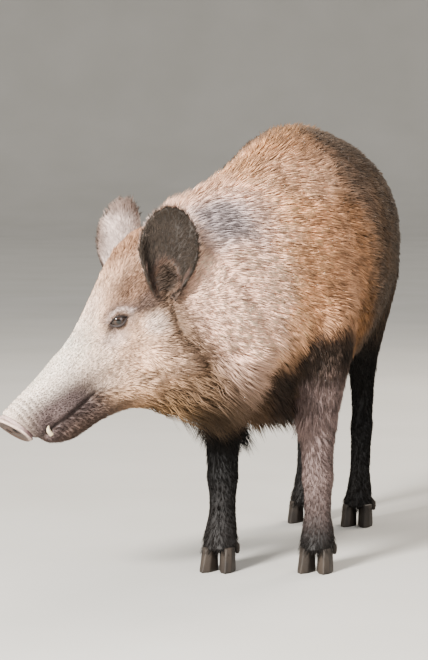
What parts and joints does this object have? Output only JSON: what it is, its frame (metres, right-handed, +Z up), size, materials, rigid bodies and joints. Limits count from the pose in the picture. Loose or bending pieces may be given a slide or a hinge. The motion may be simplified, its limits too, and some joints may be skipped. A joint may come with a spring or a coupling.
{
  "type": "wild boar",
  "caption": "Life-size wild boar standing with its neck bent and its head lowered to one side, with a short coarse coat, a long snout, upright ears and cloven hooves.",
  "frame": {"origin": "middle of the underside of the bounding box, on the floor that the hooves stand on", "axes": "+Z up; the body's length lies along Y with the rump at +Y and the forehand at -Y; +X is the boar's left side; the neck and head turn toward -X and -Y"},
  "size_m": [0.5644, 1.134, 0.7908],
  "materials": {
    "body_coat": "short coarse grey-brown bristle coat, pale hair tips over darker roots",
    "head_coat": "very short pale greyish coat lying flat",
    "leg_coat": "short dark brown to black coat lying flat",
    "nose": "bare, finely wrinkled, slightly moist skin",
    "hoof": "dark horn, satin",
    "eye": "wet, dark brown",
    "tusk": "ivory, satin"
  },
  "bodies": {
    "root": {"ear_left": "head_coat", "ear_right": "head_coat", "eye_left": "eye", "eye_right": "eye", "fore_left_inner_dewclaw": "hoof", "fore_left_inner_hoof": "hoof", "fore_left_lower_leg": "leg_coat", "fore_left_outer_dewclaw": "hoof", "fore_left_outer_hoof": "hoof", "fore_left_upper_leg": "leg_coat", "fore_right_inner_dewclaw": "hoof", "fore_right_inner_hoof": "hoof", "fore_right_lower_leg": "leg_coat", "fore_right_outer_dewclaw": "hoof", "fore_right_outer_hoof": "hoof", "fore_right_upper_leg": "leg_coat", "head": "head_coat", "hind_left_inner_dewclaw": "hoof", "hind_left_inner_hoof": "hoof", "hind_left_lower_leg": "leg_coat", "hind_left_outer_dewclaw": "hoof", "hind_left_outer_hoof": "hoof", "hind_left_upper_leg": "leg_coat", "hind_right_inner_dewclaw": "hoof", "hind_right_inner_hoof": "hoof", "hind_right_lower_leg": "leg_coat", "hind_right_outer_dewclaw": "hoof", "hind_right_outer_hoof": "hoof", "hind_right_upper_leg": "leg_coat", "lower_jaw": "head_coat", "neck": "body_coat", "nose_disc": "nose", "snout": "head_coat", "tail": "leg_coat", "trunk": "body_coat", "tusk_left": "tusk", "tusk_right": "tusk"}
  },
  "joints": []
}
